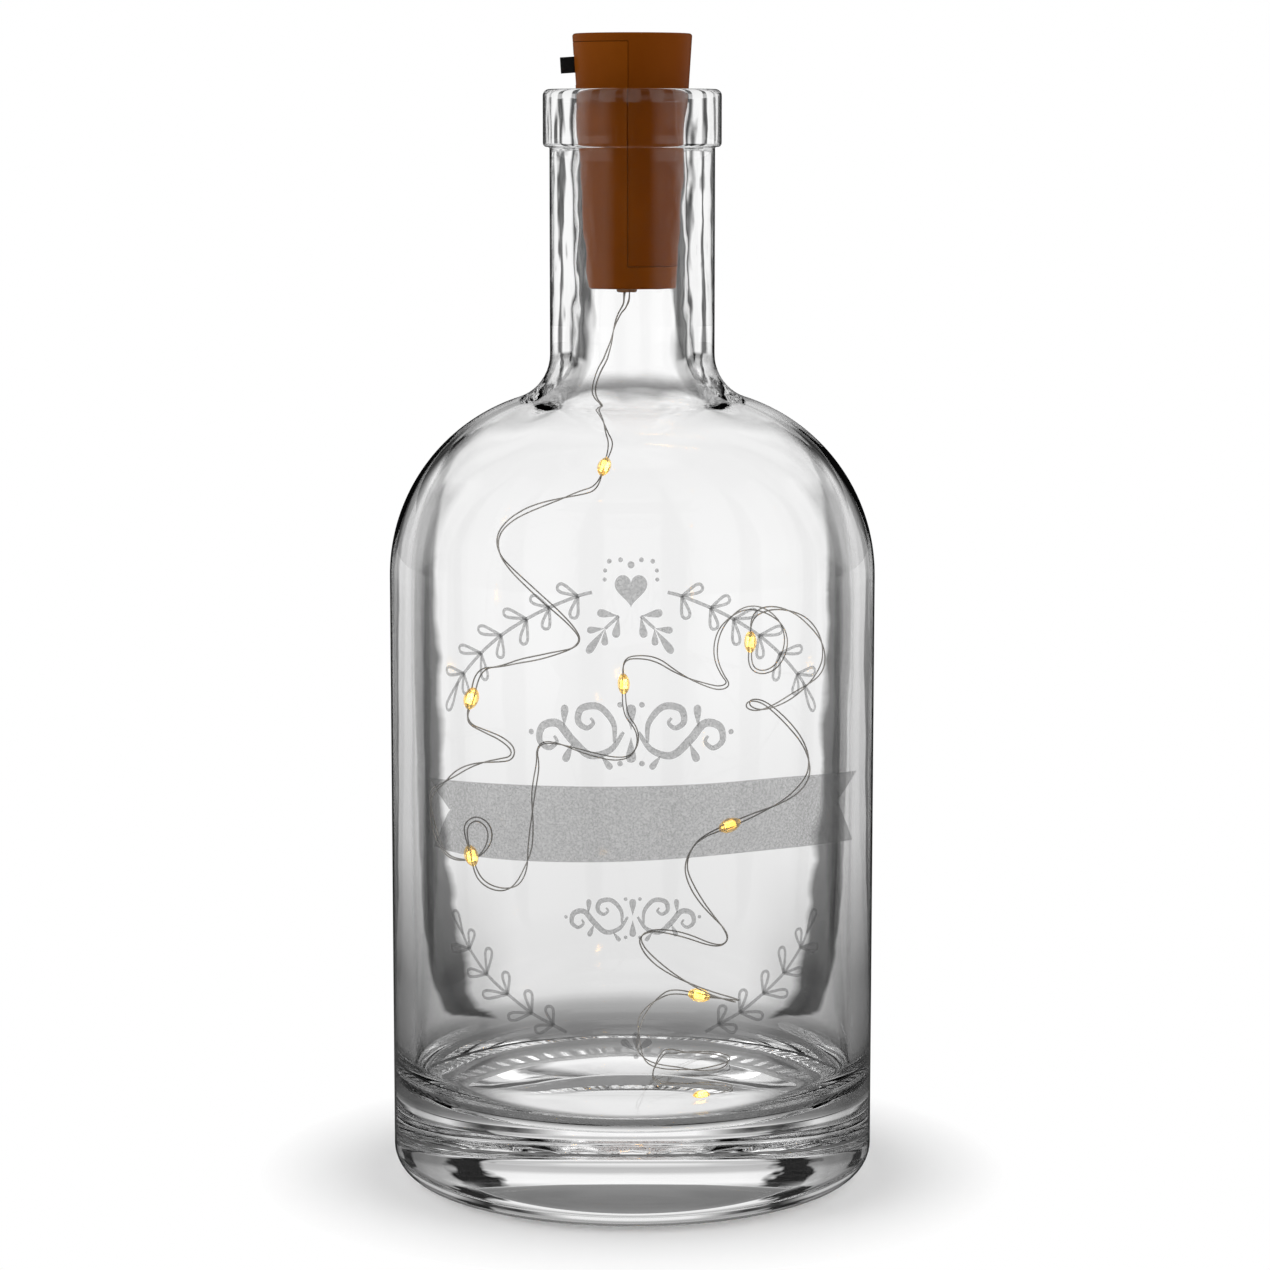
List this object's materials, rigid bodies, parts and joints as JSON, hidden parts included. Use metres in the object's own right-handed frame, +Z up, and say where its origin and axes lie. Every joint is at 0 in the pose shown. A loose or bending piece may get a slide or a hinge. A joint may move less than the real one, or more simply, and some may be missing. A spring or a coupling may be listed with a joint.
{
  "type": "cork bottle light",
  "caption": "Clear round-shouldered glass bottle with a cork-shaped battery light in its mouth and a wire string of LEDs inside; the cork lifts out, its cover slides off, its switch slides.",
  "frame": {"origin": "middle of the bottle's foot, on the surface it stands on", "axes": "+Z up along the bottle's axis, +Y away from the viewer of the picture, +X to the right, with the cork's switch facing -X"},
  "size_m": [0.09, 0.09, 0.212],
  "materials": {
    "clear_glass": "polished",
    "cork_plastic": "satin",
    "cradle_plastic": "moulded",
    "cell_steel": "plated",
    "contact_steel": "plated",
    "board": "laminate",
    "resistor_body": "ceramic",
    "switch_black": "moulded",
    "switch_steel": "tinned",
    "silver_wire": "bright silvered",
    "glue": "clear",
    "clear_resin": "cast",
    "led_phosphor": "lit"
  },
  "bodies": {
    "bottle": {"bottle": "clear_glass", "string_1": "silver_wire", "string_2": "silver_wire", "string_3": "silver_wire", "string_4": "silver_wire", "string_5": "silver_wire", "string_6": "silver_wire", "string_7": "silver_wire", "string_8": "silver_wire", "led_drop_1": "clear_resin", "led_drop_2": "clear_resin", "led_drop_3": "clear_resin", "led_drop_4": "clear_resin", "led_drop_5": "clear_resin", "led_drop_6": "clear_resin", "led_drop_7": "clear_resin", "led_drop_8": "clear_resin", "led_chip_1": "led_phosphor", "led_chip_2": "led_phosphor", "led_chip_3": "led_phosphor", "led_chip_4": "led_phosphor", "led_chip_5": "led_phosphor", "led_chip_6": "led_phosphor", "led_chip_7": "led_phosphor", "led_chip_8": "led_phosphor"},
    "cork_light": {"cork_body": "cork_plastic", "battery_tray": "cradle_plastic", "cell_1": "cell_steel", "cell_2": "cell_steel", "cell_3": "cell_steel", "contact_plate": "contact_steel", "contact_spring": "contact_steel", "circuit_board": "board", "resistor": "resistor_body", "switch_base": "switch_black", "switch_pins": "switch_steel", "switch_can": "switch_steel", "lead_wires": "silver_wire", "outlet_glue": "glue"},
    "battery_cover": {"battery_cover": "cork_plastic"},
    "switch_knob": {"switch_knob": "switch_black"}
  },
  "joints": [
    {"name": "cork_lift", "type": "slide", "parent": "bottle", "child": "cork_light", "axis": [0, 0, 1], "range_m": [0, 0.045], "deforming": ["string_1"]},
    {"name": "battery_cover_slide", "type": "slide", "parent": "cork_light", "child": "battery_cover", "axis": [0, 0, 1], "range_m": [0, 0.03]},
    {"name": "switch_slide", "type": "slide", "parent": "cork_light", "child": "switch_knob", "axis": [0.064, 0, -0.9979], "range_m": [0, 0.002]}
  ]
}
